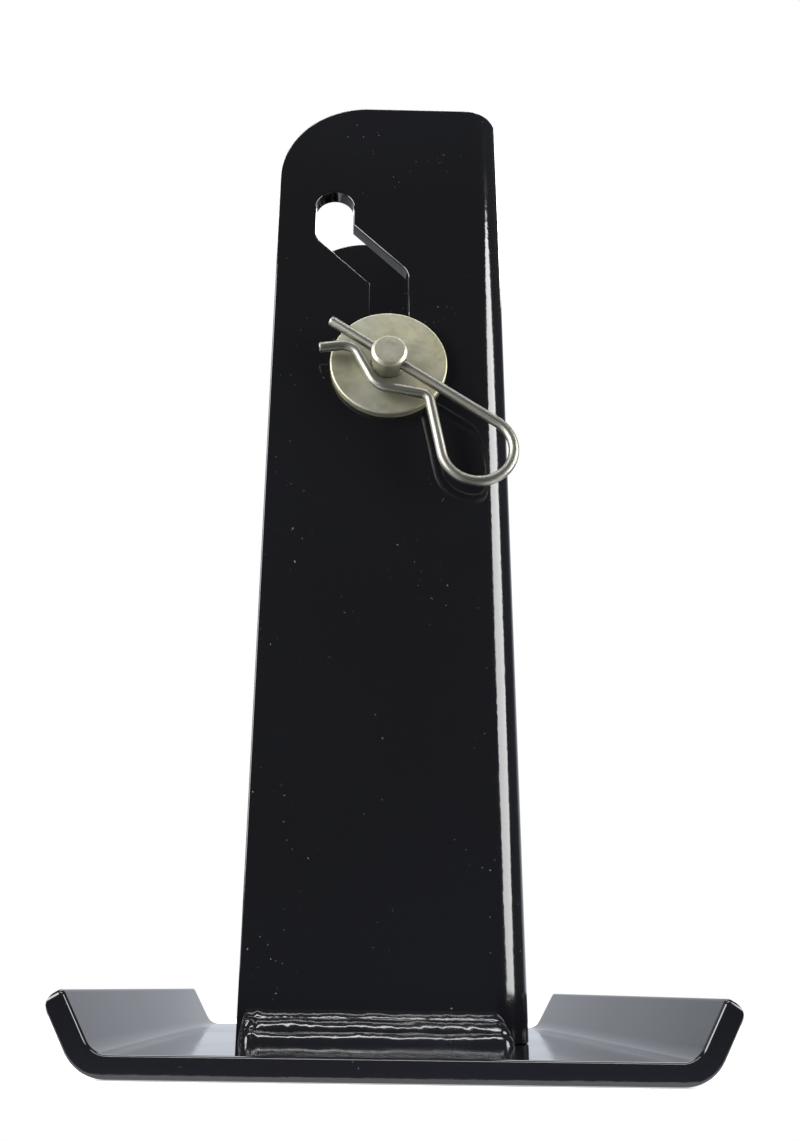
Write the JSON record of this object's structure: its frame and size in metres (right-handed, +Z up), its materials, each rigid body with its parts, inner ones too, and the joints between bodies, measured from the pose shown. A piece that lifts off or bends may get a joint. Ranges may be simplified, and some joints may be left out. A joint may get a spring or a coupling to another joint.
{
  "type": "drop-leg parking stand",
  "caption": "Drop-leg parking stand: bent-plate channel upright with a jogged slot, headed pin, washers and hairpin clip, welded on a foot plate with turned-up ends.",
  "frame": {"origin": "centre of the foot plate's underside, on the ground", "axes": "+Z up along the upright; -Y towards the clip side, which is the pin's direction; +X towards the channel's web, and its open side looks along -X"},
  "size_m": [0.1604, 0.217, 0.3508],
  "materials": {
    "black_powder_coat": "gloss",
    "coated_weld": "gloss",
    "zinc_pin": "satin",
    "zinc_washer": "satin",
    "spring_wire": "satin"
  },
  "bodies": {
    "stand": {"channel_upright": "black_powder_coat", "foot_plate": "black_powder_coat", "weld_front": "coated_weld", "weld_back": "coated_weld"},
    "head_washer": {"washer_back": "zinc_washer"},
    "pin": {"clevis_pin": "zinc_pin"},
    "clip_washer": {"washer_front": "zinc_washer"},
    "clip": {"hairpin_clip": "spring_wire"}
  },
  "joints": [
    {"name": "pin_slide", "type": "slide", "parent": "stand", "child": "head_washer", "axis": [0, 0, 1], "range_m": [0, 0.039]},
    {"name": "pin_spin", "type": "hinge", "parent": "head_washer", "child": "pin", "pos_m": [-0.0007, 0, 0.23055], "axis": [0, 1, 0], "continuous": true},
    {"name": "washer_spin", "type": "hinge", "parent": "pin", "child": "clip_washer", "pos_m": [-0.0007, -0.0446, 0.23055], "axis": [0, 1, 0], "continuous": true},
    {"name": "clip_pull", "type": "slide", "parent": "pin", "child": "clip", "axis": [0.8241, 0, -0.5664], "range_m": [0, 0.034], "deforming": ["hairpin_clip"]}
  ]
}
